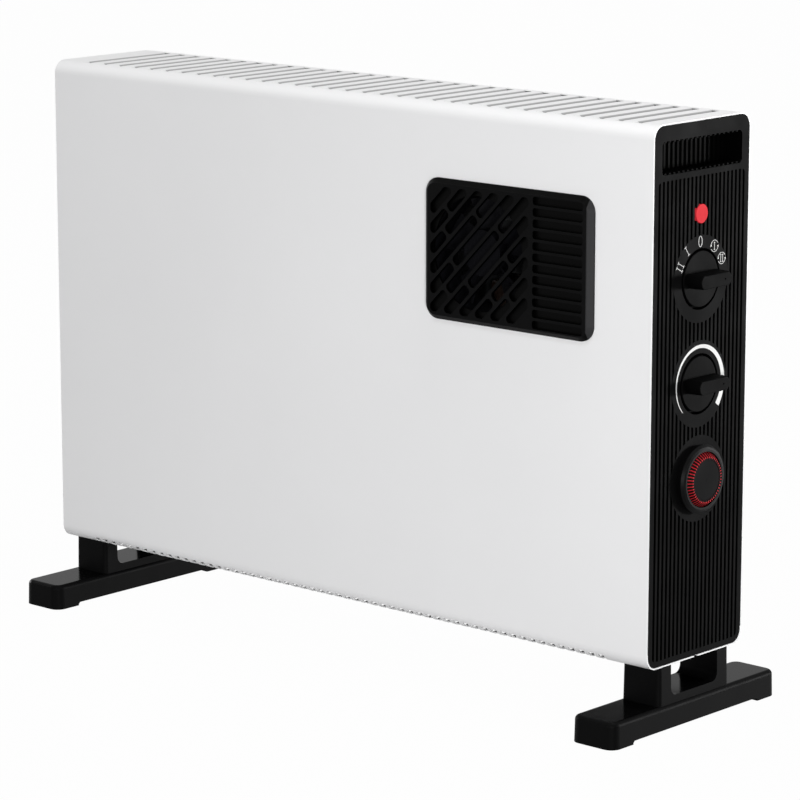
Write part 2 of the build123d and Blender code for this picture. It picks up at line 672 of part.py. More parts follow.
def lattice_slots():
    """The diagonal openings: channels at 45 degrees, cut into lengths by cross-bars set out of step."""
    step = LATTICE_PITCH / math.sqrt(2)
    width = step - LATTICE_RIB
    square = Pos(LATTICE_SHIFT, 0) * Rectangle(LATTICE_SIZE, LATTICE_SIZE)
    slots = []
    for channel in range(-LATTICE_CHANNELS, LATTICE_CHANNELS + 1):
        strip = Pos(0, channel * step) * Rectangle(2 * LATTICE_SIZE, width)
        for share in LATTICE_TIES.get(abs(channel), ()):
            strip -= Pos(share * LATTICE_SIZE, channel * step) * Rectangle(LATTICE_RIB, width + 1)
        placed = Pos(LATTICE_SHIFT, 0) * Rot(0, 0, 45) * strip
        for face in (placed & square).faces():
            slot = Sketch() + face
            slots.append(fillet(slot.vertices(), LATTICE_CORNER_R))
    return slots


def blind_slots():
    """The level slots in the grille's right third."""
    slot = RectangleRounded(BAR_W, BAR_GAP, BAR_END_R)
    first = -(BAR_COUNT - 1) / 2 * BAR_PITCH
    return [Pos(BAR_SHIFT, first + index * BAR_PITCH) * slot for index in range(BAR_COUNT)]


def fan_grille():
    """Moulded grille over the fan: a chamfered plate, a shallow lattice and a round way through behind it."""
    front = Plane(origin=(GRILLE_X, GRILLE_FACE_Y, GRILLE_Z), x_dir=(1, 0, 0), z_dir=(0, -1, 0))
    plate = extrude(front * RectangleRounded(GRILLE_W, GRILLE_H, GRILLE_R), -GRILLE_PROUD)
    face_edges = plate.faces().sort_by(Axis.Y)[0].edges()
    plate = chamfer(face_edges, GRILLE_CHAMFER)
    inner = RectangleRounded(GRILLE_W - 2 * GRILLE_RIM, GRILLE_H - 2 * GRILLE_RIM, GRILLE_OPENING_R)
    hollow = GRILLE_PROUD - LATTICE_DEPTH - FLOOR_T
    plate -= Pos(0, GRILLE_PROUD, 0) * extrude(front * inner, hollow)
    for slot in lattice_slots() + blind_slots():
        plate -= extrude(front * slot, -LATTICE_DEPTH)
    return plate - rod_y(FAN_HOLE_R, GRILLE_FACE_Y + LATTICE_DEPTH, FRONT_Y + 1, FAN_X, GRILLE_Z)


def fan_shroud():
    """Ring round the impeller with an ear on each side for the motor strap."""
    outer_r = FAN_HOLE_R + SHROUD_WALL
    ring = rod_y(outer_r, FLOOR_BACK_Y, STRAP_Y, FAN_X, GRILLE_Z)
    ear_x = outer_r + SHROUD_EAR
    ring += block(FAN_X - ear_x, FAN_X + ear_x, FRONT_Y + SHEET_T, STRAP_Y,
                  GRILLE_Z - SHROUD_EAR_H / 2, GRILLE_Z + SHROUD_EAR_H / 2)
    return ring - rod_y(FAN_HOLE_R, FLOOR_BACK_Y - 1, STRAP_Y + 1, FAN_X, GRILLE_Z)


def blade_section(radius, chord, pitch, camber):
    """Thin arched section of a blade at one radius, square to the radius."""
    half = chord / 2
    upper = ThreePointArc((-half, BLADE_T / 2), (0, camber + BLADE_T / 2), (half, BLADE_T / 2))
    lower = ThreePointArc((-half, -BLADE_T / 2), (0, camber - BLADE_T / 2), (half, -BLADE_T / 2))
    ends = [Line((end * half, -BLADE_T / 2), (end * half, BLADE_T / 2)) for end in (-1, 1)]
    section = make_face([upper, lower] + ends)
    mid_y = HUB_DEPTH / 2
    plane = Plane(origin=(0, mid_y, radius), x_dir=(1, 0, 0), z_dir=(0, 0, 1))
    return plane * (Rot(0, 0, pitch) * section)


def fan_impeller():
    """Cup hub with twisted blades."""
    hub = rod_y(HUB_R, 0, HUB_DEPTH, 0, 0) - rod_y(HUB_R - HUB_WALL, HUB_WALL, HUB_DEPTH + 1, 0, 0)
    hub += rod_y(BEARING_R, 0, HUB_DEPTH - HUB_WALL, 0, 0)
    radii = (HUB_R - BLADE_ROOT_IN, (HUB_R + FAN_R) / 2, FAN_R)
    sections = [blade_section(*sizes) for sizes in zip(radii, BLADE_CHORDS, BLADE_PITCHES, BLADE_CAMBERS)]
    blade = loft(sections) & rod_y(FAN_R, 0, HUB_DEPTH, 0, 0)
    for index in range(BLADE_COUNT):
        hub += Rot(0, index * 360 / BLADE_COUNT, 0) * blade
    hub -= rod_y(SHAFT_R, HUB_WALL, HUB_DEPTH, 0, 0)
    return Pos(FAN_X, HUB_Y, GRILLE_Z) * hub


def fan_shaft():
    """Motor shaft."""
    return rod_y(SHAFT_R, HUB_Y + HUB_WALL, SHAFT_END_Y, FAN_X, GRILLE_Z)


def rotor_core():
    """Rotor of the motor."""
    return rod_y(ROTOR_R, STACK_Y, REAR_BRIDGE_Y, FAN_X, GRILLE_Z) - fan_shaft()


def motor_strap():
    """Steel strap across the back of the shroud, which carries the motor."""
    reach = FAN_HOLE_R + SHROUD_WALL + SHROUD_EAR
    strap = block(FAN_X - reach, FAN_X + reach, STRAP_Y, STRAP_Y + STRAP_T,
                  GRILLE_Z - STRAP_H / 2, GRILLE_Z + STRAP_H / 2)
    return strap - rod_y(BEARING_R, STRAP_Y - 1, STRAP_Y + STRAP_T + 1, FAN_X, GRILLE_Z)


def bearing_bridge():
    """Bridge with a bearing boss on its plate and a leg at each side, the plate's face at the origin."""
    half_w = STACK_HALF_W
    inside = ROTOR_R + AIR_GAP + BRIDGE_CLEAR
    bridge = block(-half_w, half_w, 0, BRIDGE_DEPTH, -BRIDGE_H / 2, BRIDGE_H / 2)
    bridge -= block(-inside, inside, BRIDGE_PLATE, BRIDGE_DEPTH + 1, -BRIDGE_H, BRIDGE_H)
    bridge += rod_y(BEARING_R, 0, BRIDGE_DEPTH - BRIDGE_PLATE, 0, 0)
    return bridge - rod_y(SHAFT_R + BEARING_FIT, -1, BRIDGE_DEPTH + 1, 0, 0)


def front_bearing_bridge():
    """Bearing bridge on the impeller's side, its legs towards the laminations."""
    return Pos(FAN_X, FRONT_BRIDGE_Y, GRILLE_Z) * bearing_bridge()


def rear_bearing_bridge():
    """Bearing bridge on the far side, facing the other way."""
    return Pos(FAN_X, REAR_BRIDGE_Y + BRIDGE_DEPTH, GRILLE_Z) * mirror(bearing_bridge(), about=Plane.XZ)


def motor_laminations():
    """Stack of laminations with the rotor's bore above and the coil's yoke below."""
    stack = block(FAN_X - STACK_HALF_W, FAN_X + STACK_HALF_W, STACK_Y, REAR_BRIDGE_Y,
                  GRILLE_Z - STACK_DOWN, GRILLE_Z + STACK_UP)
    stack -= block(FAN_X - WINDOW_HALF_W, FAN_X + WINDOW_HALF_W, STACK_Y - 1, REAR_BRIDGE_Y + 1,
                   GRILLE_Z - STACK_DOWN + YOKE_H, GRILLE_Z - WINDOW_TOP)
    return stack - rod_y(ROTOR_R + AIR_GAP, STACK_Y - 1, REAR_BRIDGE_Y + 1, FAN_X, GRILLE_Z)


def motor_coil():
    """Coil wound round the yoke."""
    half = WINDOW_HALF_W - COIL_END_GAP
    yoke_z = GRILLE_Z - STACK_DOWN
    coil = block(FAN_X - half, FAN_X + half, STACK_Y - COIL_BUILD, REAR_BRIDGE_Y + COIL_BUILD,
                 yoke_z - COIL_BUILD, yoke_z + YOKE_H + COIL_BUILD)
    coil = fillet(coil.edges().filter_by(Axis.X), COIL_BUILD / 2)
    return coil - block(FAN_X - half - 1, FAN_X + half + 1, STACK_Y, REAR_BRIDGE_Y, yoke_z, yoke_z + YOKE_H)


def element_fins(side):
    """Cross-shaped fins pressed along one heating element, with rows of slots."""
    length = ELEMENT_RIGHT - ELEMENT_LEFT
    middle = (ELEMENT_RIGHT + ELEMENT_LEFT) / 2
    arm = Box(length, FIN_T, FIN_REACH * 2)
    pitch = length / FIN_SLOTS
    for index in range(FIN_SLOTS):
        x = (index - (FIN_SLOTS - 1) / 2) * pitch
        for way in (-1, 1):
            arm -= Pos(x, 0, way * FIN_SLOT_R) * Box(FIN_SLOT_L, FIN_T + 1, FIN_SLOT_W)
    fins = Rot(90 - FIN_ANGLE, 0, 0) * arm + Rot(FIN_ANGLE - 90, 0, 0) * arm
    fins += Rot(0, 90, 0) * Cylinder(FIN_HUB_R, length)
    fins -= Rot(0, 90, 0) * Cylinder(SHEATH_R, length + 2)
    return Pos(middle, side * ELEMENT_Y, ELEMENT_Z) * fins


def element_sheath(side):
    """Sheathed rod of one heating element, with a pin at each end."""
    y = side * ELEMENT_Y
    past = BUSH_FLANGE_T + SHEATH_PAST
    rod = rod_x(SHEATH_R, BRACKET_LEFT - past, BRACKET_RIGHT + past, y, ELEMENT_Z)
    rod += rod_x(PIN_R, BRACKET_LEFT - past - PIN_LENGTH, BRACKET_LEFT, y, ELEMENT_Z)
    return rod + rod_x(PIN_R, BRACKET_RIGHT, BRACKET_RIGHT + past + PIN_LENGTH, y, ELEMENT_Z)


def element_bracket(x, flange_way):
    """Sheet bracket across the casing, flanged against the front and rear sheets."""
    half_y = CASE_D / 2 - SHEET_T
    z0 = ELEMENT_Z - BRACKET_H / 2
    z1 = ELEMENT_Z + BRACKET_H / 2
    bracket = block(x - BRACKET_T / 2, x + BRACKET_T / 2, -half_y, half_y, z0, z1)
    near, far = sorted((x, x + flange_way * BRACKET_FLANGE))
    for side in (-1, 1):
        inner, outer = sorted((side * half_y, side * (half_y - BRACKET_T)))
        bracket += block(near, far, inner, outer, z0, z1)
        bracket -= rod_x(BUSH_R, x - 1, x + 1, side * ELEMENT_Y, ELEMENT_Z)
    return bracket


def bracket_bushes():
    """Ceramic bushes that hold the sheaths in their brackets."""
    bushes = []
    for x, way in ((BRACKET_LEFT, -1), (BRACKET_RIGHT, 1)):
        for side in (-1, 1):
            y = side * ELEMENT_Y
            neck0, neck1 = sorted((x - way * BRACKET_T * 2, x + way * (BRACKET_T / 2)))
            flange0, flange1 = sorted((x + way * BRACKET_T / 2, x + way * (BRACKET_T / 2 + BUSH_FLANGE_T)))
            bush = rod_x(BUSH_R, neck0, neck1, y, ELEMENT_Z)
            bush += rod_x(BUSH_FLANGE_R, flange0, flange1, y, ELEMENT_Z)
            bushes.append(bush - rod_x(SHEATH_R, x - 2 * BUSH_R, x + 2 * BUSH_R, y, ELEMENT_Z))
    return Compound(bushes)


def thermal_cutout():
    """Bimetal cut-out on the right bracket, with its two tabs."""
    face_x = BRACKET_RIGHT + BRACKET_T / 2
    z = ELEMENT_Z + BRACKET_H / 4
    body = rod_x(BUSH_R, face_x, face_x + BUSH_R, 0, z)
    for side in (-1, 1):
        body += block(face_x + BUSH_R, face_x + BUSH_R + SPADE_L, side * BUSH_R / 2 - SPADE_T / 2,
                      side * BUSH_R / 2 + SPADE_T / 2, z - SPADE_W / 2, z + SPADE_W / 2)
    return body


def heat_shield():
    """Steel wall between the heating space and the controls."""
    half_y = CASE_D / 2 - SHEET_T
    z0 = CASE_Z + BEND_R
    z1 = CASE_TOP - SHIELD_TOP_GAP - SEAM_DROP
    wall = block(SHIELD_X, SHIELD_X + SHIELD_T, -half_y, half_y, z0, z1)
    for side in (-1, 1):
        inner, outer = sorted((side * half_y, side * (half_y - SHIELD_T)))
        wall += block(SHIELD_X - SHIELD_FLANGE, SHIELD_X, inner, outer, z0, z1)
    return wall - rod_x(WIRE_HOLE_R, SHIELD_X - 1, SHIELD_X + SHIELD_T + 1, ELEMENT_Y, ELEMENT_Z)


def terminal_block():
    """Three-way block on the shield where the supply is joined."""
    x0 = SHIELD_X + SHIELD_T
    z0 = CASE_Z + TERMINAL_RISE - TERMINAL_H / 2
    body = block(x0, x0 + TERMINAL_DEPTH, -TERMINAL_W / 2, TERMINAL_W / 2, z0, z0 + TERMINAL_H)
    bore_x = x0 + TERMINAL_DEPTH / 2
    for way in (-1, 0, 1):
        body -= rod_z(TERMINAL_BORE_R, z0 - 1, z0 + TERMINAL_H + 1, bore_x, way * TERMINAL_W / 3)
    return body


def cord_grommet():
    """Rubber inlet in the rear sheet, flanged on both sides."""
    z = CASE_Z + CORD_RISE
    ring = rod_y(GROMMET_R, BACK_Y, BACK_Y + GROMMET_OUT, CORD_X, z)
    ring = fillet(ring.edges().group_by(Axis.Y)[-1], GROMMET_OUT / 2)
    ring += rod_y(INLET_HOLE_R, BACK_Y - SHEET_T, BACK_Y, CORD_X, z)
    ring += rod_y(GROMMET_R, BACK_Y - SHEET_T - GROMMET_OUT, BACK_Y - SHEET_T, CORD_X, z)
    return ring - rod_y(CORD_BORE_R, BACK_Y - BEND_R, BACK_Y + BEND_R, CORD_X, z)


def foot():
    """Right foot: a long bar on two end pads, with a windowed column under the casing."""
    bar = extrude(Pos(FOOT_X, 0) * RectangleRounded(FOOT_W, FOOT_L, FOOT_PLAN_R), FOOT_BAR_H, taper=FOOT_TAPER)
    bar = fillet(bar.edges().group_by(Axis.Z)[-1], FOOT_TOP_R)
    span = FOOT_L - 2 * PAD_L
    relief = Pos(FOOT_X, 0, PAD_H / 2) * Box(FOOT_W + 2, span, PAD_H)
    relief = chamfer(relief.edges().filter_by(Axis.X).group_by(Axis.Z)[-1], PAD_CHAMFER)
    under_casing = Plane(origin=(COLUMN_X, 0, CASE_Z), x_dir=(1, 0, 0), z_dir=(0, 0, -1))
    column = extrude(under_casing * RectangleRounded(COLUMN_W, COLUMN_L, COLUMN_R), CASE_Z, taper=-COLUMN_TAPER)
    body = bar + column - relief
    window = RectangleRounded(WINDOW_L, 2 * (CASE_Z - WINDOW_FLOOR), WINDOW_R)
    body -= Pos(FOOT_X, 0, CASE_Z) * extrude(Plane.YZ * window, FOOT_W, both=True)
    for y, length in foot_pockets(span):
        body -= Pos(FOOT_X, y, 0) * Box(FOOT_W - 2 * FOOT_SIDE_WALL, length, 2 * (FOOT_BAR_H - FOOT_ROOF))
    for side in (-1, 1):
        body -= rod_z(SCREW_R, 0, CASE_Z + 1, NUT_X, side * COLUMN_WALL_Y)
        body -= rod_z(SCREW_HEAD_R + SCREW_WELL_GAP, -1, SCREW_WELL, NUT_X, side * COLUMN_WALL_Y)
    return body


def foot_pockets(span):
    """Middle and length along Y of the hollows under a foot: one below the window and one past each column end."""
    end_length = (span - COLUMN_L) / 2 - FOOT_WALL
    end_y = (COLUMN_L + end_length) / 2 + FOOT_WALL
    return [(-end_y, end_length), (0, WINDOW_L - 2 * FOOT_WALL), (end_y, end_length)]


def left_foot():
    """The same foot at the other end."""
    return mirror(foot(), about=Plane.YZ)


def foot_screws():
    """Screws up through the columns into the plates inside the casing."""
    top_z = CASE_Z + SHEET_T + NUT_PLATE_T
    screws = []
    for x, y in foot_screw_places():
        screw = rod_z(SCREW_R, SCREW_WELL, top_z, x, y)
        screw += rod_z(SCREW_HEAD_R, SCREW_WELL - SCREW_HEAD_H, SCREW_WELL, x, y)
        screws.append(screw - Pos(x, y, SCREW_WELL - SCREW_HEAD_H) * cross_recess())
    return Compound(screws)


def nut_plates():
    """Tapped plates on the inside of the bottom, one over each foot."""
    z0 = CASE_Z + SHEET_T
    plates = []
    for side in (-1, 1):
        plate = Pos(side * NUT_X, 0, z0 + NUT_PLATE_T / 2) * Box(NUT_PLATE_W, COLUMN_L, NUT_PLATE_T)
        plates.append(plate - [rod_z(SCREW_R, z0 - 1, z0 + BEND_R, x, y) for x, y in foot_screw_places()])
    return Compound(plates)


def case_screws():
    """Pan-head screws in the back."""
    screws = []
    for x, z in case_screw_places():
        head = rod_y(CASE_SCREW_HEAD_R, BACK_Y, BACK_Y + CASE_SCREW_HEAD_H, x, z)
        head = chamfer(head.edges().group_by(Axis.Y)[-1], CASE_SCREW_HEAD_H / 2)
        head -= Pos(x, BACK_Y + CASE_SCREW_HEAD_H, z) * Rot(90, 0, 0) * cross_recess()
        screws.append(head + rod_y(CASE_SCREW_R, BACK_Y - CASE_SCREW_L, BACK_Y, x, z))
    return Compound(screws)


PARTS = {
    "front_casing": front_casing,
    "rear_casing": rear_casing,
    "right_end_panel": right_end_panel,
    "left_end_panel": left_end_panel,
    "fan_grille": fan_grille,
    "fan_shroud": fan_shroud,
    "fan_impeller": fan_impeller,
    "fan_shaft": fan_shaft,
    "motor_rotor": rotor_core,
    "motor_strap": motor_strap,
    "front_bearing_bridge": front_bearing_bridge,
    "rear_bearing_bridge": rear_bearing_bridge,
    "motor_laminations": motor_laminations,
    "motor_coil": motor_coil,
    "front_element_fins": lambda: element_fins(-1),
    "rear_element_fins": lambda: element_fins(1),
    "front_element_sheath": lambda: element_sheath(-1),
    "rear_element_sheath": lambda: element_sheath(1),
    "left_element_bracket": lambda: element_bracket(BRACKET_LEFT, -1),
    "right_element_bracket": lambda: element_bracket(BRACKET_RIGHT, 1),
    "element_bushes": bracket_bushes,
    "thermal_cutout": thermal_cutout,
    "heat_shield": heat_shield,
    "terminal_block": terminal_block,
    "cord_grommet": cord_grommet,
    "selector_switch": selector_switch,
    "selector_spindle": lambda: control_spindle(SELECTOR_Z),
    "selector_knob": lambda: control_knob(SELECTOR_Z),
    "thermostat_body": thermostat_body,
    "thermostat_spindle": lambda: control_spindle(THERMOSTAT_Z),
    "thermostat_knob": lambda: control_knob(THERMOSTAT_Z),
    "timer_body": timer_body,
    "timer_bezel": timer_bezel,
    "timer_arbor": timer_arbor,
    "timer_dial": timer_dial,
    "timer_tabs": timer_tabs,
    "control_tabs": control_tabs,
    "pilot_lens": pilot_lens,
    "pilot_holder": pilot_holder,
    "right_foot": foot,
    "left_foot": left_foot,
    "foot_screws": foot_screws,
    "nut_plates": nut_plates,
    "case_screws": case_screws,
}

os.makedirs("parts", exist_ok=True)
for name, make in PARTS.items():
    export_step(Pos(SHIFT_X, 0, 0) * make(), "parts/" + name + ".step")
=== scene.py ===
import json
import math

import bmesh
import bpy
from mathutils import Matrix, Vector


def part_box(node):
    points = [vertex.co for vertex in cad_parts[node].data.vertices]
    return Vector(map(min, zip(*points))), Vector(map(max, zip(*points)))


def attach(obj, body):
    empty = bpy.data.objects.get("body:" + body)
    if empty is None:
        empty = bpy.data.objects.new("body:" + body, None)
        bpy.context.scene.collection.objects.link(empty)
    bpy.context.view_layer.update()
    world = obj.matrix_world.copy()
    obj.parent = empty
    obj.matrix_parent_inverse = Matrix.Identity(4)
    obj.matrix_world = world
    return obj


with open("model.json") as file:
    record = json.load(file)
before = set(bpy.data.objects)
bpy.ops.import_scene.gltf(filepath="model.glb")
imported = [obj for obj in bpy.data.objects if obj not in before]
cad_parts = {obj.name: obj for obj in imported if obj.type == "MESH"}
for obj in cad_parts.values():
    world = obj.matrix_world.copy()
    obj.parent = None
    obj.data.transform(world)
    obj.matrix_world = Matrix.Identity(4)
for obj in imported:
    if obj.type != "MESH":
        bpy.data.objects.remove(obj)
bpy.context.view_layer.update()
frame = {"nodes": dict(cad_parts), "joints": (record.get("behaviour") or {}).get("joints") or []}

# Camera, floor and light
# The heater stands on a plain pale floor before a white backdrop, seen through a long lens from its right
# front corner. The key light is beside the camera, two weaker ones fill the front from level and from above,
# one hangs overhead, one comes low from behind the controls, and a weak one reaches the far end.
EYE = Vector((1.81649, -2.00966, 0.75638))
LOOK_AZIMUTH = math.radians(41.915)
LOOK_DOWN = math.radians(11.714)
LENS_MM = 163.86
SENSOR_MM = 36.0
FLOOR_HALF = 6.0
FLOOR_TONE = (0.25, 0.25, 0.255, 1)
FLOOR_LIFT = 0.985
SKY_FILL = 0.14
MIDDLE = Vector((0.0, 0.0, 0.24))
CONTROLS = Vector((0.3, 0.0, 0.28))
LAMPS = (
    # name, place, width of the square, power, and where it is aimed
    ("key_light", Vector((1.8, -1.62, 0.36)), 0.6, 32.0, MIDDLE),
    ("front_light", Vector((0.0, -2.4, 0.35)), 0.6, 12.5, MIDDLE),
    ("upper_light", Vector((0.3, -1.6, 2.2)), 0.5, 10.5, MIDDLE),
    ("overhead_light", Vector((0.8, 0.1, 2.6)), 1.0, 37.0, MIDDLE),
    ("end_light", Vector((1.7, 2.2, 0.2)), 0.35, 62.0, CONTROLS),
    ("far_end_light", Vector((-2.6, 0.1, 0.35)), 0.5, 45.0, MIDDLE),
)


def material_tree(name):
    """A new material, its nodes, its links and its output node, with nothing else in it."""
    material = bpy.data.materials.new(name)
    material.use_nodes = True
    tree = material.node_tree
    tree.nodes.clear()
    output = tree.nodes.new("ShaderNodeOutputMaterial")
    return material, tree.nodes, tree.links, output


def calculated(nodes, links, operation, first, second=0.0):
    """The outcome of a sum on two numbers, either of which may be a socket."""
    sum_node = nodes.new("ShaderNodeMath")
    sum_node.operation = operation
    for socket, value in zip(sum_node.inputs, (first, second)):
        if hasattr(value, "links"):
            links.new(value, socket)
        else:
            socket.default_value = value
    return sum_node.outputs[0]


def backdrop_mask(nodes, links):
    """One for rays from the camera, in reflections and through clear parts, and nought for lighting rays."""
    path = nodes.new("ShaderNodeLightPath")
    seen = calculated(nodes, links, "MAXIMUM", path.outputs["Is Camera Ray"], path.outputs["Is Glossy Ray"])
    return calculated(nodes, links, "MAXIMUM", seen, path.outputs["Is Transmission Ray"])


def floor_surface():
    """Pale matt floor that looks white and keeps a faint shadow of the heater."""
    material, nodes, links, output = material_tree("pale_floor")
    lit = nodes.new("ShaderNodeBsdfDiffuse")
    lit.inputs["Color"].default_value = FLOOR_TONE
    white = nodes.new("ShaderNodeEmission")
    white.inputs["Strength"].default_value = 1.0
    share = calculated(nodes, links, "MULTIPLY", backdrop_mask(nodes, links), FLOOR_LIFT)
    mix = nodes.new("ShaderNodeMixShader")
    links.new(share, mix.inputs["Fac"])
    links.new(lit.outputs[0], mix.inputs[1])
    links.new(white.outputs[0], mix.inputs[2])
    links.new(mix.outputs[0], output.inputs["Surface"])
    return material


def soft_light(name, place, size, energy, target):
    """A square soft light aimed at a point, out of the camera's sight."""
    data = bpy.data.lights.new(name, "AREA")
    data.size = size
    data.energy = energy
    light = bpy.data.objects.new(name, data)
    light.location = place
    light.rotation_euler = (target - place).to_track_quat("-Z", "Y").to_euler()
    light.visible_camera = False
    light.visible_glossy = True
    bpy.context.scene.collection.objects.link(light)


camera_data = bpy.data.cameras.new("camera")
camera_data.lens = LENS_MM
camera_data.sensor_width = SENSOR_MM
camera = bpy.data.objects.new("camera", camera_data)
camera.location = EYE
sight = Vector((-math.sin(LOOK_AZIMUTH) * math.cos(LOOK_DOWN),
                math.cos(LOOK_AZIMUTH) * math.cos(LOOK_DOWN),
                -math.sin(LOOK_DOWN)))
camera.rotation_euler = sight.to_track_quat("-Z", "Y").to_euler()
bpy.context.scene.collection.objects.link(camera)
bpy.context.scene.camera = camera
bpy.context.scene.view_settings.view_transform = "Standard"

floor_mesh = bpy.data.meshes.new("floor")
floor_bm = bmesh.new()
bmesh.ops.create_grid(floor_bm, x_segments=4, y_segments=4, size=FLOOR_HALF)
floor_bm.to_mesh(floor_mesh)
floor_bm.free()
floor = bpy.data.objects.new("floor", floor_mesh)
floor_mesh.materials.append(floor_surface())
bpy.context.scene.collection.objects.link(floor)

world = bpy.data.worlds.new("studio")
world.use_nodes = True
bpy.context.scene.world = world
sky = world.node_tree
sky.nodes.clear()
fill = sky.nodes.new("ShaderNodeBackground")
fill.inputs["Strength"].default_value = SKY_FILL
backdrop = sky.nodes.new("ShaderNodeBackground")
backdrop.inputs["Color"].default_value = (1, 1, 1, 1)
backdrop.inputs["Strength"].default_value = 1.0
sky_mix = sky.nodes.new("ShaderNodeMixShader")
sky_out = sky.nodes.new("ShaderNodeOutputWorld")
sky.links.new(backdrop_mask(sky.nodes, sky.links), sky_mix.inputs["Fac"])
sky.links.new(fill.outputs[0], sky_mix.inputs[1])
sky.links.new(backdrop.outputs[0], sky_mix.inputs[2])
sky.links.new(sky_mix.outputs[0], sky_out.inputs["Surface"])

for lamp in LAMPS:
    soft_light(*lamp)


# Casing sheets
# Two pieces of mild steel sheet, one folded into the front, louvred top and front half of the bottom, the
# other into the back. Both are powder coated white, with the fine orange peel that such a coat has. The grey
# down the louvre flaps and the near black inside are painted shade and no known finish, set for the shade
# there.
ENAMEL_WHITE = (0.81, 0.81, 0.815, 1)
ENAMEL_SHADE = (0.79, 0.79, 0.795, 1)
FLAP_PAINTED_SHADE = (0.4, 0.4, 0.405, 1)
INSIDE_PAINTED_SHADE = (0.02, 0.02, 0.021, 1)
SHEET_DEPTH = 0.0004
FLAP_DEPTH = 0.00002
FLAP_FADE = 0.0003
FLAP_DROP = 0.008
CASING_ROLL = 0.012
BEYOND = 1.0
FINER_GRAIN = 2.7
PATCH_LOW = 0.32
PATCH_HIGH = 0.68
RUB_STARTS = 0.99
RUB_FULL = 0.8
RUB_BREAKS = 160.0


def shader_group(name, inputs, outputs):
    """A shader node group with named sockets, its inner nodes and links, and its two end nodes."""
    group = bpy.data.node_groups.new(name, "ShaderNodeTree")
    for label, kind, value in inputs:
        socket = group.interface.new_socket(label, in_out="INPUT", socket_type=kind)
        if value is not None:
            socket.default_value = value
    for label, kind in outputs:
        group.interface.new_socket(label, in_out="OUTPUT", socket_type=kind)
    nodes = group.nodes
    return group, nodes, group.links, nodes.new("NodeGroupInput"), nodes.new("NodeGroupOutput")


def skin_group():
    """Fine bumps of a sprayed or moulded surface: rounded pimples with a finer grain between them."""
    group, nodes, links, inside, outside = shader_group(
        "fine_skin",
        [("Vector", "NodeSocketVector", None), ("Pimple Scale", "NodeSocketFloat", 600.0),
         ("Grain", "NodeSocketFloat", 0.4)],
        [("Height", "NodeSocketFloat")])
    pimples = nodes.new("ShaderNodeTexVoronoi")
    pimples.feature = "SMOOTH_F1"
    links.new(inside.outputs["Vector"], pimples.inputs["Vector"])
    links.new(inside.outputs["Pimple Scale"], pimples.inputs["Scale"])
    grain = nodes.new("ShaderNodeTexNoise")
    grain.inputs["Detail"].default_value = 3.0
    links.new(inside.outputs["Vector"], grain.inputs["Vector"])
    finer = calculated(nodes, links, "MULTIPLY", inside.outputs["Pimple Scale"], FINER_GRAIN)
    links.new(finer, grain.inputs["Scale"])
    mix = nodes.new("ShaderNodeMix")
    links.new(inside.outputs["Grain"], mix.inputs[0])
    links.new(pimples.outputs["Distance"], mix.inputs[2])
    links.new(grain.outputs["Fac"], mix.inputs[3])
    links.new(mix.outputs[0], outside.inputs["Height"])
    return group


def handling_group():
    """Broad soft patches, as hands and wiping leave, between a low and a high value."""
    group, nodes, links, inside, outside = shader_group(
        "handling",
        [("Vector", "NodeSocketVector", None), ("Scale", "NodeSocketFloat", 9.0),
         ("Low", "NodeSocketFloat", 0.0), ("High", "NodeSocketFloat", 1.0)],
        [("Value", "NodeSocketFloat")])
    patches = nodes.new("ShaderNodeTexNoise")
    patches.inputs["Detail"].default_value = 4.0
    patches.inputs["Roughness"].default_value = 0.55
    links.new(inside.outputs["Vector"], patches.inputs["Vector"])
    links.new(inside.outputs["Scale"], patches.inputs["Scale"])
    span = nodes.new("ShaderNodeMapRange")
    span.inputs["From Min"].default_value = PATCH_LOW
    span.inputs["From Max"].default_value = PATCH_HIGH
    links.new(patches.outputs["Fac"], span.inputs["Value"])
    links.new(inside.outputs["Low"], span.inputs["To Min"])
    links.new(inside.outputs["High"], span.inputs["To Max"])
    links.new(span.outputs["Result"], outside.inputs["Value"])
    return group


def rub_group():
    """Where outside edges are rubbed: one on an edge, nought on flat faces, broken up along its length."""
    group, nodes, links, inside, outside = shader_group(
        "edge_rub",
        [("Vector", "NodeSocketVector", None), ("Width", "NodeSocketFloat", 0.0006),
         ("Strength", "NodeSocketFloat", 1.0)],
        [("Mask", "NodeSocketFloat")])
    rounded = nodes.new("ShaderNodeBevel")
    rounded.samples = 4
    links.new(inside.outputs["Width"], rounded.inputs["Radius"])
    geometry = nodes.new("ShaderNodeNewGeometry")
    match = nodes.new("ShaderNodeVectorMath")
    match.operation = "DOT_PRODUCT"
    links.new(rounded.outputs["Normal"], match.inputs[0])
    links.new(geometry.outputs["Normal"], match.inputs[1])
    edge = nodes.new("ShaderNodeMapRange")
    edge.inputs["From Min"].default_value = RUB_STARTS
    edge.inputs["From Max"].default_value = RUB_FULL
    links.new(match.outputs["Value"], edge.inputs["Value"])
    breaks = nodes.new("ShaderNodeTexNoise")
    breaks.inputs["Scale"].default_value = RUB_BREAKS
    links.new(inside.outputs["Vector"], breaks.inputs["Vector"])
    broken = calculated(nodes, links, "MULTIPLY", edge.outputs["Result"], breaks.outputs["Fac"])
    level = calculated(nodes, links, "MULTIPLY", broken, inside.outputs["Strength"])
    links.new(level, outside.inputs["Mask"])
    return group


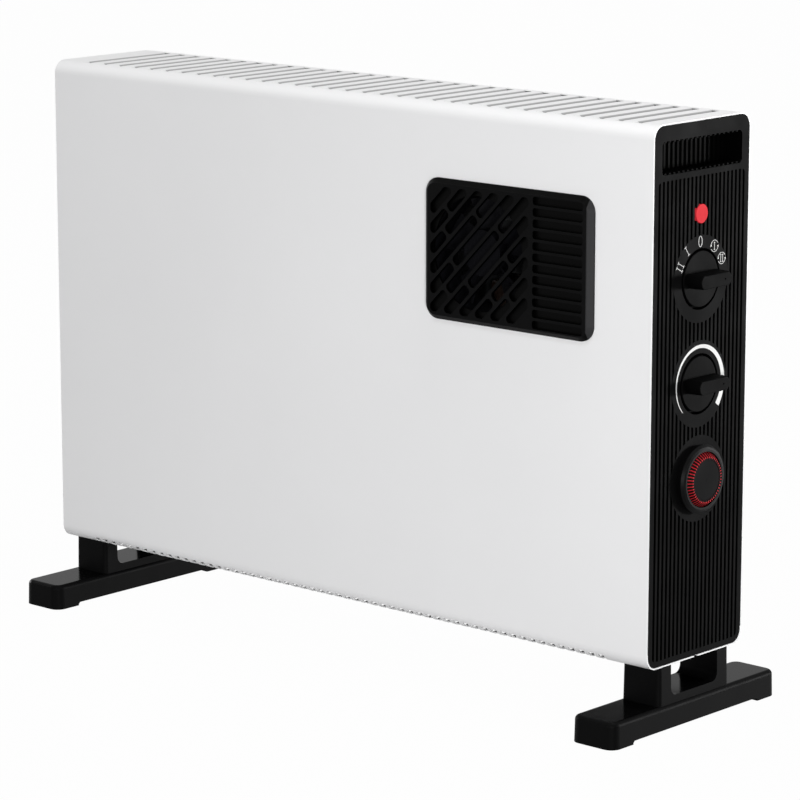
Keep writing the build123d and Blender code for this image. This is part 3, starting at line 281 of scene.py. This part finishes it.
def box_group():
    """Nought outside an upright box, given its centre and half sizes, and one from a soft depth inside it."""
    group, nodes, links, inside, outside = shader_group(
        "within_box",
        [("Vector", "NodeSocketVector", None), ("Centre", "NodeSocketVector", None),
         ("Half", "NodeSocketVector", None), ("Soft", "NodeSocketFloat", 0.00001)],
        [("Mask", "NodeSocketFloat")])
    last = inside.outputs["Vector"]
    for operation, label in (("SUBTRACT", "Centre"), ("ABSOLUTE", None), ("SUBTRACT", "Half")):
        step = nodes.new("ShaderNodeVectorMath")
        step.operation = operation
        links.new(last, step.inputs[0])
        if label:
            links.new(inside.outputs[label], step.inputs[1])
        last = step.outputs["Vector"]
    split = nodes.new("ShaderNodeSeparateXYZ")
    links.new(last, split.inputs[0])
    furthest = split.outputs["X"]
    for axis in ("Y", "Z"):
        furthest = calculated(nodes, links, "MAXIMUM", furthest, split.outputs[axis])
    depth = calculated(nodes, links, "MULTIPLY", furthest, -1.0)
    share = calculated(nodes, links, "DIVIDE", depth, inside.outputs["Soft"])
    share.node.use_clamp = True
    links.new(share, outside.inputs["Mask"])
    return group


SKIN = skin_group()
HANDLING = handling_group()
RUB = rub_group()
BOX = box_group()


def place_group(nodes, links, group, vector, **values):
    """A group's node in a material, reading the given coordinates, with its own values."""
    node = nodes.new("ShaderNodeGroup")
    node.node_tree = group
    links.new(vector, node.inputs["Vector"])
    for label, value in values.items():
        node.inputs[label.replace("_", " ")].default_value = value
    return node


def bumped(nodes, links, height, strength, distance):
    """A bump of a height in metres for a shader's normal."""
    bump = nodes.new("ShaderNodeBump")
    bump.inputs["Strength"].default_value = strength
    bump.inputs["Distance"].default_value = distance
    links.new(height, bump.inputs["Height"])
    return bump.outputs["Normal"]


def blend_colours(nodes, links, factor, first, second):
    """Colour between two, by a mask. Either colour may be a socket."""
    mix = nodes.new("ShaderNodeMix")
    mix.data_type = "RGBA"
    links.new(factor, mix.inputs[0])
    for socket, colour in ((mix.inputs[6], first), (mix.inputs[7], second)):
        if hasattr(colour, "links"):
            links.new(colour, socket)
        else:
            socket.default_value = colour
    return mix.outputs[2]


def principled(nodes, links, output, specular=0.5, metallic=0.0):
    """The material's one shader."""
    shader = nodes.new("ShaderNodeBsdfPrincipled")
    shader.inputs["Specular IOR Level"].default_value = specular
    shader.inputs["Metallic"].default_value = metallic
    links.new(shader.outputs[0], output.inputs["Surface"])
    return shader


def finish(material, *names):
    """Gives CAD pieces their surface, through their objects' material slots."""
    for name in names:
        piece = frame["nodes"][name]
        if not piece.material_slots:
            piece.data.materials.append(material)
        for slot in piece.material_slots:
            slot.material = material


def enamel():
    """White powder coat outside, with painted shade: a grey down the flaps of the louvres, and a near black
    inside.
    """
    material, nodes, links, output = material_tree("white_enamel")
    shader = principled(nodes, links, output, specular=0.4)
    place = nodes.new("ShaderNodeTexCoord").outputs["Object"]
    patches = place_group(nodes, links, HANDLING, place, Scale=5.0)
    coat = blend_colours(nodes, links, patches.outputs[0], ENAMEL_WHITE, ENAMEL_SHADE)
    front_low, front_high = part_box("front_casing")
    back_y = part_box("rear_casing")[1].y
    low = Vector((front_low.x - BEYOND, front_low.y + SHEET_DEPTH, front_low.z + CASING_ROLL))
    # Painted shade: grey on the louvre flaps just under the top sheet, and near black on the inside further
    # down.
    for depth, fade, roll, colour in ((FLAP_DEPTH, FLAP_FADE, CASING_ROLL, FLAP_PAINTED_SHADE),
                                      (FLAP_DROP, SHEET_DEPTH, 0.0, INSIDE_PAINTED_SHADE)):
        start = low + Vector((0, roll, 0))
        end = Vector((front_high.x + BEYOND, back_y - SHEET_DEPTH - roll, front_high.z - depth))
        below = place_group(nodes, links, BOX, place,
                            Centre=(start + end) / 2, Half=(end - start) / 2, Soft=fade)
        coat = blend_colours(nodes, links, below.outputs[0], coat, colour)
    links.new(coat, shader.inputs["Base Color"])
    gloss = place_group(nodes, links, HANDLING, place, Scale=14.0, Low=0.36, High=0.44)
    links.new(gloss.outputs[0], shader.inputs["Roughness"])
    skin = place_group(nodes, links, SKIN, place, Pimple_Scale=420.0, Grain=0.35)
    links.new(bumped(nodes, links, skin.outputs[0], 0.25, 0.00006), shader.inputs["Normal"])
    return material


finish(enamel(), "front_casing", "rear_casing")


# End panels and fan grille
# Injection-moulded black covers with a satin skin. How black they are is no known finish. The paler upright
# sides of the grille's rim are a painted highlight, and the deeper black between ribs and bars is painted
# shade.
PAINTED_SHADE_AND_MARK_BLACK = (0.0004, 0.0004, 0.0004, 1)
FACE_DEPTH = 0.0003
RIM_WIDTH = 0.0042
RIM_PAINTED_HIGHLIGHT = (0.03, 0.03, 0.031, 1)
LOOKS_UP = 0.97


def black_moulding(name, low, high, rubbed, roughness, specular, sunk=None, rim=None, polish=None):
    """Black moulded plastic between two grey levels, with dulled edges and a fine skin.

    Sunk is the box, as its centre and half sizes, painted near black inside: painted shade below the faces on
    the panels and grille, and a dark mark on the dial. Rim is the box outside which a painted highlight gives
    a paler rim. Polish is the roughness of faces that look straight up, if it is another.
    """
    material, nodes, links, output = material_tree(name)
    shader = principled(nodes, links, output, specular=specular)
    place = nodes.new("ShaderNodeTexCoord").outputs["Object"]
    patches = place_group(nodes, links, HANDLING, place, Scale=18.0)
    tone = blend_colours(nodes, links, patches.outputs[0],
                         (low, low, low * 1.06, 1), (high, high, high * 1.05, 1))
    rub = place_group(nodes, links, RUB, place, Width=0.0005, Strength=1.0)
    tone = blend_colours(nodes, links, rub.outputs[0], tone, (rubbed, rubbed, rubbed * 1.02, 1))
    if sunk:
        # Painted shade: near black on what lies below the faces; on the dial the same box gives its dark
        # mark.
        below = place_group(nodes, links, BOX, place, Centre=sunk[0], Half=sunk[1])
        tone = blend_colours(nodes, links, below.outputs[0], tone, PAINTED_SHADE_AND_MARK_BLACK)
    if rim:
        # Painted highlight: the grille's upright rim sides, outside the inner box, are a paler grey.
        inner = place_group(nodes, links, BOX, place, Centre=rim[0], Half=rim[1])
        tone = blend_colours(nodes, links, inner.outputs[0], RIM_PAINTED_HIGHLIGHT, tone)
    links.new(tone, shader.inputs["Base Color"])
    gloss = place_group(nodes, links, HANDLING, place,
                        Scale=30.0, Low=roughness - 0.05, High=roughness + 0.05)
    dull = gloss.outputs[0]
    if polish:
        facing = nodes.new("ShaderNodeSeparateXYZ")
        links.new(nodes.new("ShaderNodeNewGeometry").outputs["Normal"], facing.inputs[0])
        mix = nodes.new("ShaderNodeMix")
        mix.inputs[3].default_value = polish
        links.new(calculated(nodes, links, "GREATER_THAN", facing.outputs["Z"], LOOKS_UP), mix.inputs[0])
        links.new(dull, mix.inputs[2])
        dull = mix.outputs[0]
    links.new(dull, shader.inputs["Roughness"])
    skin = place_group(nodes, links, SKIN, place, Pimple_Scale=1400.0, Grain=0.5)
    links.new(bumped(nodes, links, skin.outputs[0], 0.3, 0.00003), shader.inputs["Normal"])
    return material


panel_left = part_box("left_end_panel")[0].x
panel_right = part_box("right_end_panel")[1].x
panel_sunk = (Vector(((panel_left + panel_right) / 2, 0, 0)),
              Vector(((panel_right - panel_left) / 2 - FACE_DEPTH, BEYOND, BEYOND)))
panel_black = black_moulding("panel_black", 0.0014, 0.0022, 0.004, 0.6, 0.0225, panel_sunk)
finish(panel_black, "right_end_panel", "left_end_panel")
grille_low, grille_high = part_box("fan_grille")
grille_middle = (grille_low + grille_high) / 2
grille_reach = (grille_high.x - grille_low.x) / 2
grille_sunk = (Vector((0, 0, 0)), Vector((BEYOND, -grille_low.y - FACE_DEPTH, BEYOND)))
grille_inner = (grille_middle, Vector((grille_reach - RIM_WIDTH, BEYOND, BEYOND)))
grille_black = black_moulding("grille_black", 0.0016, 0.0024, 0.004, 0.38, 0.034, grille_sunk, grille_inner)
finish(grille_black, "fan_grille")
finish(black_moulding("bezel_black", 0.0016, 0.0024, 0.004, 0.42, 0.05), "timer_bezel")


# Feet
# Moulded black legs. Their level tops are made shinier than the rest, for the sheen they show.
foot_black = black_moulding("foot_black", 0.0012, 0.0018, 0.003, 0.5, 0.028, polish=0.16)
finish(foot_black, "right_foot", "left_foot")


# Knobs and timer dial
# Black plastic like the panels', turned by hand. The timer's dial has a small dark mark in the middle, taken
# for a mould mark. Its segments are red along the middle of their outer faces, with painted shade near black
# on their sides and a deeper red down their slope as painted shade.
finish(black_moulding("knob_black", 0.0004, 0.0006, 0.0015, 0.6, 0.0235), "selector_knob", "thermostat_knob")


SEGMENT_COUNT = 48
SEGMENT_RED_HALF = 0.0003
SEGMENT_RED_START = 0.01575
SEGMENT_RED_EDGE = 0.0168
SEGMENT_SIDE_PAINTED_SHADE = (0.012, 0.001, 0.001, 1)
SEGMENT_SLOPE_PAINTED_SHADE = (0.4, 0.014, 0.02, 1)
MOULD_MARK = (0.0006, 0.0011)


def joint_place(name):
    """Where a joint's axis is, in metres."""
    joint = next(joint for joint in frame["joints"] if joint["name"] == name)
    return Vector(joint["pos_m"])


def timer_red():
    """Red segments round the dial: a red line along the middle of each, with painted shade near black on
    their sides and a deeper red down the slope.
    """
    material, nodes, links, output = material_tree("timer_red")
    shader = principled(nodes, links, output, specular=0.05)
    place = nodes.new("ShaderNodeTexCoord").outputs["Object"]
    split = nodes.new("ShaderNodeSeparateXYZ")
    links.new(place, split.inputs[0])
    centre = joint_place("timer_turn")
    across = calculated(nodes, links, "SUBTRACT", split.outputs["Y"], centre.y)
    up = calculated(nodes, links, "SUBTRACT", split.outputs["Z"], centre.z)
    squares = [calculated(nodes, links, "MULTIPLY", value, value) for value in (across, up)]
    radius = calculated(nodes, links, "SQRT", calculated(nodes, links, "ADD", *squares))
    turns = calculated(nodes, links, "ARCTAN2", across, up)
    turns = calculated(nodes, links, "DIVIDE", turns, 2 * math.pi / SEGMENT_COUNT)
    share = calculated(nodes, links, "SUBTRACT", turns, calculated(nodes, links, "ROUND", turns))
    aside = calculated(nodes, links, "MULTIPLY", calculated(nodes, links, "ABSOLUTE", share), radius)
    aside = calculated(nodes, links, "MULTIPLY", aside, 2 * math.pi / SEGMENT_COUNT)
    middle = calculated(nodes, links, "LESS_THAN", aside, SEGMENT_RED_HALF)
    past = calculated(nodes, links, "GREATER_THAN", radius, SEGMENT_RED_START)
    red = calculated(nodes, links, "MULTIPLY", middle, past)
    patches = place_group(nodes, links, HANDLING, place, Scale=60.0)
    lit = blend_colours(nodes, links, patches.outputs[0], (0.7, 0.018, 0.026, 1), (0.78, 0.024, 0.034, 1))
    # Painted shade: a deeper red down the slope, and near black on the sides of each segment.
    slope = calculated(nodes, links, "GREATER_THAN", radius, SEGMENT_RED_EDGE)
    lit = blend_colours(nodes, links, slope, lit, SEGMENT_SLOPE_PAINTED_SHADE)
    links.new(blend_colours(nodes, links, red, SEGMENT_SIDE_PAINTED_SHADE, lit), shader.inputs["Base Color"])
    gloss = place_group(nodes, links, HANDLING, place, Scale=90.0, Low=0.5, High=0.6)
    links.new(gloss.outputs[0], shader.inputs["Roughness"])
    return material


timer_centre = joint_place("timer_turn")
timer_mark = (timer_centre, Vector((0.1, *MOULD_MARK)))
finish(black_moulding("dial_black", 0.002, 0.003, 0.005, 0.6, 0.025, timer_mark), "timer_dial")
finish(timer_red(), "timer_tabs")


# Pilot lamp
# A translucent red cap over a neon lamp, which is lit while the heater is on.
def lamp_lens():
    """Red lens with the lamp's glow in it."""
    material, nodes, links, output = material_tree("lamp_lens")
    shader = principled(nodes, links, output, specular=0.033)
    place = nodes.new("ShaderNodeTexCoord").outputs["Object"]
    patches = place_group(nodes, links, HANDLING, place, Scale=120.0)
    red = blend_colours(nodes, links, patches.outputs[0], (0.52, 0.022, 0.03, 1), (0.58, 0.028, 0.037, 1))
    links.new(red, shader.inputs["Base Color"])
    glow = blend_colours(nodes, links, patches.outputs[0], (0.8, 0.03, 0.05, 1), (0.9, 0.06, 0.08, 1))
    links.new(glow, shader.inputs["Emission Color"])
    shader.inputs["Emission Strength"].default_value = 0.1
    shader.inputs["Roughness"].default_value = 0.6
    return material


finish(lamp_lens(), "pilot_lens")


# Marks on the dials
# Pad-printed in white ink on the smooth plates: the switch positions, the two fan positions inside their
# turning arrows, and the thermostat's arc, which widens towards the hot end.
INK_LIFT = 0.00001
INK_THICKNESS = 0.00006
PRINT_MM = 0.001


def plate_matrix(centre):
    """From millimetres on a dial plate, x towards the back and y up, to the heater's metres."""
    turn = Matrix(((0, 0, 1), (1, 0, 0), (0, 1, 0))).to_4x4()
    panel_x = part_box("right_end_panel")[1].x
    return Matrix.Translation((panel_x + INK_LIFT, centre.y, centre.z)) @ turn @ Matrix.Scale(PRINT_MM, 4)


def clock(angle, radius):
    """A place round a dial, by degrees clockwise from the top."""
    turn = math.radians(angle)
    return Vector((radius * math.sin(turn), radius * math.cos(turn), 0))


def printed_block(bm, width, height, place):
    """A filled rectangle of ink."""
    size = Matrix.Diagonal((width, height, 1, 1))
    bmesh.ops.create_grid(bm, x_segments=1, y_segments=1, size=0.5, matrix=place @ size)


def printed_numeral(bm, length, stroke, serif, place):
    """An upright stroke with a serif across each end."""
    stem = length - 2 * stroke
    printed_block(bm, stroke, stem, place)
    for end in (-1, 1):
        printed_block(bm, serif, stroke, place @ Matrix.Translation((0, end * (stem + stroke) / 2, 0)))


def printed_ring(bm, width, height, stroke, place):
    """A closed oval line, a little thinner at its top and bottom."""
    rings = []
    for across, up in ((width, height), (width - 2 * stroke, height - 1.6 * stroke)):
        size = Matrix.Diagonal((across / 2, up / 2, 1, 1))
        made = bmesh.ops.create_circle(bm, segments=40, radius=1.0, matrix=place @ size)
        rings += list({edge for vert in made["verts"] for edge in vert.link_edges})
    bmesh.ops.bridge_loops(bm, edges=rings)


def printed_arc(bm, inner, outer_start, outer_end, start, end, steps, place):
    """An arc between two angles, clockwise from the top, whose outer edge moves between two radii."""
    low = bm.verts.new(clock(start, inner))
    high = bm.verts.new(clock(start, outer_start))
    edge = bm.edges.new((low, high))
    sweep = math.radians(start - end)
    bmesh.ops.spin(bm, geom=[low, high, edge], cent=(0, 0, 0), axis=(0, 0, 1), dvec=(0, 0, 0),
                   angle=sweep, steps=steps)
    bm.verts.ensure_lookup_table()
    made = {low, high}
    reach = [low, high]
    while reach:
        for link in reach.pop().link_edges:
            for vert in link.verts:
                if vert not in made:
                    made.add(vert)
                    reach.append(vert)
    middle = (inner + min(outer_start, outer_end)) / 2
    for vert in made:
        if vert.co.length > middle:
            turned = math.degrees(math.atan2(vert.co.x, vert.co.y))
            share = (turned - start) / (end - start)
            vert.co = vert.co.normalized() * (outer_start + share * (outer_end - outer_start))
    bmesh.ops.transform(bm, matrix=place, verts=list(made))


def printed_arrowhead(bm, size, angle, radius, place):
    """A filled triangle that points back along a circle, anticlockwise."""
    turn = Matrix.Rotation(math.radians(-angle + 180), 4, "Z")
    at = Matrix.Translation(clock(angle, radius))
    bmesh.ops.create_circle(bm, cap_ends=True, segments=3, radius=size, matrix=place @ at @ turn)


def ink_on(name, bm, centre):
    """Turns flat ink shapes in millimetres into a thin printed layer on the panel."""
    bmesh.ops.transform(bm, matrix=plate_matrix(centre), verts=bm.verts)
    bmesh.ops.recalc_face_normals(bm, faces=bm.faces)
    for face in bm.faces:
        if face.normal.x < 0:
            face.normal_flip()
    bmesh.ops.solidify(bm, geom=bm.faces[:], thickness=-INK_THICKNESS)
    bmesh.ops.recalc_face_normals(bm, faces=bm.faces)
    mesh = bpy.data.meshes.new(name)
    bm.to_mesh(mesh)
    bm.free()
    mesh.materials.append(WHITE_INK)
    piece = bpy.data.objects.new(name, mesh)
    bpy.context.scene.collection.objects.link(piece)
    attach(piece, "heater")


def plain_finish(name, colour, roughness, specular=0.5, metallic=0.0, vary=0.06, scale=40.0):
    """A simple moulded, turned or rolled surface: tone and gloss that vary a little, and a fine skin."""
    material, nodes, links, output = material_tree(name)
    shader = principled(nodes, links, output, specular=specular, metallic=metallic)
    place = nodes.new("ShaderNodeTexCoord").outputs["Object"]
    patches = place_group(nodes, links, HANDLING, place, Scale=scale)
    darker = tuple(value * (1 - vary) for value in colour) + (1,)
    lighter = tuple(min(1, value * (1 + vary)) for value in colour) + (1,)
    links.new(blend_colours(nodes, links, patches.outputs[0], darker, lighter), shader.inputs["Base Color"])
    gloss = place_group(nodes, links, HANDLING, place,
                        Scale=scale * 1.7, Low=roughness - 0.06, High=roughness + 0.06)
    links.new(gloss.outputs[0], shader.inputs["Roughness"])
    fine = place_group(nodes, links, SKIN, place, Pimple_Scale=900.0, Grain=0.5)
    links.new(bumped(nodes, links, fine.outputs[0], 0.3, 0.00003), shader.inputs["Normal"])
    return material


WHITE_INK = plain_finish("white_ink", (0.76, 0.76, 0.75), 0.6, 0.1, vary=0.03, scale=300.0)

NUMERAL = (7.3, 0.4, 2.4)
FAN_NUMERAL = (5.4, 0.4, 1.5)
NOUGHT_SIZE = (4.4, 7.8, 0.5)
NOUGHT_AT = (-1.0, 26.6, 0)
ONE_AT = (-16.0, 21.4, 0)
ONE_LEANS = 37
TWO_AT = (-23.7, 11.0, 0)
TWO_LEANS = 62
TWO_SPREAD = 1.8
FAN_MARKS = (((15.3, 21.6, 0), (0.0,)), ((23.9, 11.9, 0), (-1.15, 1.15)))
ARROW_INNER = 3.92
ARROW_OUTER = 4.28
ARROW_SPANS = ((-80, 62), (100, 242))
ARROW_STEPS = 24
ARROWHEAD_SIZE = 1.0
ARROWHEAD_RADIUS = 4.05
ARROWHEAD_LEAD = 4
selector_bm = bmesh.new()
printed_ring(selector_bm, *NOUGHT_SIZE, Matrix.Translation(NOUGHT_AT))
one = Matrix.Translation(ONE_AT) @ Matrix.Rotation(math.radians(ONE_LEANS), 4, "Z")
printed_numeral(selector_bm, *NUMERAL, one)
two = Matrix.Translation(TWO_AT) @ Matrix.Rotation(math.radians(TWO_LEANS), 4, "Z")
for side in (-1, 1):
    printed_numeral(selector_bm, *NUMERAL, two @ Matrix.Translation((side * TWO_SPREAD, 0, 0)))
for middle, bars in FAN_MARKS:
    place = Matrix.Translation(middle)
    for bar in bars:
        printed_numeral(selector_bm, *FAN_NUMERAL, place @ Matrix.Translation((bar, 0, 0)))
    for start, end in ARROW_SPANS:
        printed_arc(selector_bm, ARROW_INNER, ARROW_OUTER, ARROW_OUTER, start, end, ARROW_STEPS, place)
    for start, end in ARROW_SPANS:
        printed_arrowhead(selector_bm, ARROWHEAD_SIZE, start - ARROWHEAD_LEAD, ARROWHEAD_RADIUS, place)
ink_on("selector_marks", selector_bm, joint_place("selector_turn"))

SCALE_INNER = 25.5
SCALE_COLD = 25.9
SCALE_HOT = 30.0
SCALE_START = -135
SCALE_END = 130
SCALE_STEPS = 120
scale_bm = bmesh.new()
printed_arc(scale_bm, SCALE_INNER, SCALE_COLD, SCALE_HOT, SCALE_START, SCALE_END, SCALE_STEPS,
            Matrix.Identity(4))
ink_on("thermostat_scale", scale_bm, joint_place("thermostat_turn"))


# Works inside
# The fan and its motor, the finned elements on their brackets, the switches and the wiring end, which show
# only through the grille, the louvres and the bottom slots, and the screws and cord inlet of the casing.
# Painted shade: the motor's coil, laminations and rotor, and the bearing bridges and strap, are near black
# for the dark inside behind the grille.
INNER_PIECES = (
    # name, colour, roughness, specular level, metallic, and the pieces that have it
    ("dark_nylon", (0.004, 0.004, 0.005), 0.6, 0.03, 0.0, ("fan_shroud", "fan_impeller", "pilot_holder")),
    ("bright_steel", (0.6, 0.6, 0.61), 0.3, 0.5, 1.0, ("fan_shaft",)),
    ("zinc_steel", (0.6, 0.61, 0.6), 0.38, 0.5, 1.0,
     ("left_element_bracket", "right_element_bracket", "heat_shield", "nut_plates")),
    ("motor_steel", (0.02, 0.021, 0.022), 0.5, 0.2, 0.4, ("motor_rotor", "motor_laminations")),
    ("fin_steel", (0.42, 0.41, 0.4), 0.45, 0.5, 1.0,
     ("front_element_fins", "rear_element_fins", "front_element_sheath", "rear_element_sheath")),
    ("bridge_painted_shade", (0.005, 0.005, 0.006), 0.55, 0.05, 0.0,
     ("front_bearing_bridge", "rear_bearing_bridge", "motor_strap")),
    ("coil_painted_shade", (0.012, 0.006, 0.004), 0.4, 0.2, 0.0, ("motor_coil",)),
    ("ceramic", (0.85, 0.83, 0.78), 0.6, 0.4, 0.0, ("element_bushes",)),
    ("phenolic", (0.12, 0.07, 0.05), 0.4, 0.4, 0.0, ("thermal_cutout", "thermostat_body")),
    ("pale_nylon", (0.8, 0.79, 0.74), 0.45, 0.4, 0.0, ("terminal_block", "selector_switch", "timer_body")),
    ("black_rubber", (0.02, 0.02, 0.02), 0.7, 0.2, 0.0, ("cord_grommet",)),
    ("tab_brass", (0.72, 0.58, 0.3), 0.35, 0.5, 1.0, ("control_tabs",)),
    ("spindle_steel", (0.6, 0.6, 0.61), 0.3, 0.5, 1.0,
     ("selector_spindle", "thermostat_spindle", "timer_arbor")),
    ("screw_zinc", (0.55, 0.56, 0.56), 0.35, 0.5, 1.0, ("foot_screws", "case_screws")),
)
for inner_name, inner_colour, inner_roughness, inner_specular, inner_metallic, pieces in INNER_PIECES:
    finish(plain_finish(inner_name, inner_colour, inner_roughness, inner_specular, inner_metallic), *pieces)
